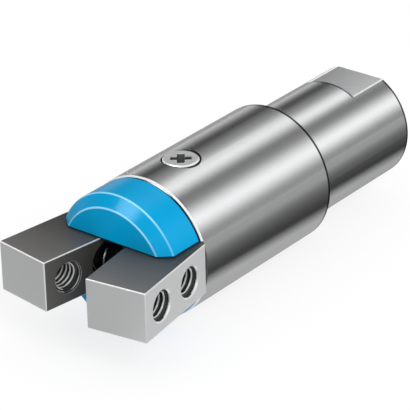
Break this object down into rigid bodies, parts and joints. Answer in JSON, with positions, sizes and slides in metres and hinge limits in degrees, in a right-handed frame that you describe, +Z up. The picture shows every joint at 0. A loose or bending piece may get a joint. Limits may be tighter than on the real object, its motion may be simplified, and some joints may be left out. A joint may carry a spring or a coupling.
{
  "type": "pneumatic angular gripper",
  "caption": "Slim round pneumatic angular gripper: clamping spigot with spanner flats, slotted plastic cap, and square jaws with tapped cross holes that swing shut on pivot pins.",
  "frame": {"origin": "on the gripper's axis, in the plane of the housing's rear shoulder, where the clamping spigot starts", "axes": "+Y along the gripper's axis towards the spigot's rear end, so the jaws point to -Y; +X towards the right jaw; +Z up, along the jaws' hinge pins"},
  "size_m": [0.0232, 0.0614, 0.019],
  "materials": {
    "housing_steel": "fine turned",
    "spigot_steel": "fine turned",
    "cap_plastic": "smooth moulded blue",
    "jaw_steel": "ground",
    "carrier_steel": "milled",
    "pin_steel": "hardened and polished",
    "bush_bronze": "sintered bronze",
    "piston_alloy": "anodised",
    "seal_rubber": "matt black",
    "guide_plastic": "natural",
    "spring_steel": "dark patented wire",
    "screw_steel": "zinc plated"
  },
  "bodies": {
    "body": {"housing": "housing_steel", "rear_spigot": "spigot_steel", "spigot_seal": "seal_rubber", "buffer_ring": "seal_rubber", "cover_cap": "cap_plastic", "jaw_carrier": "carrier_steel", "rod_guide_bush": "bush_bronze", "right_pivot_pin": "pin_steel", "left_pivot_pin": "pin_steel", "upper_lock_screw": "screw_steel", "lower_lock_screw": "screw_steel", "return_spring": "spring_steel", "jaw_spring": "spring_steel"},
    "piston_unit": {"piston": "piston_alloy", "piston_seal": "seal_rubber", "piston_guide_ring": "guide_plastic", "piston_rod": "pin_steel", "rod_nut": "carrier_steel"},
    "right_finger": {"right_jaw": "jaw_steel", "right_cam_pin": "pin_steel"},
    "left_finger": {"left_jaw": "jaw_steel", "left_cam_pin": "pin_steel"}
  },
  "joints": [
    {"name": "piston_slide", "type": "slide", "parent": "body", "child": "piston_unit", "axis": [0, -1, 0], "range_m": [0, 0.00191], "stiffness_N_per_m": 1200, "springref_m": -0.0025, "deforming": ["return_spring"]},
    {"name": "right_jaw_hinge", "type": "hinge", "parent": "body", "child": "right_finger", "pos_m": [0.00441, -0.0238, 0], "axis": [0, 0, -1], "range_deg": [0, 9.25], "deforming": ["jaw_spring"]},
    {"name": "left_jaw_hinge", "type": "hinge", "parent": "body", "child": "left_finger", "pos_m": [-0.00441, -0.0238, 0], "axis": [0, 0, 1], "range_deg": [0, 9.25]}
  ],
  "couplings": [
    {"joint": "right_jaw_hinge", "follows": "piston_slide", "rad_per_m": 84.418},
    {"joint": "left_jaw_hinge", "follows": "piston_slide", "rad_per_m": 84.418}
  ]
}
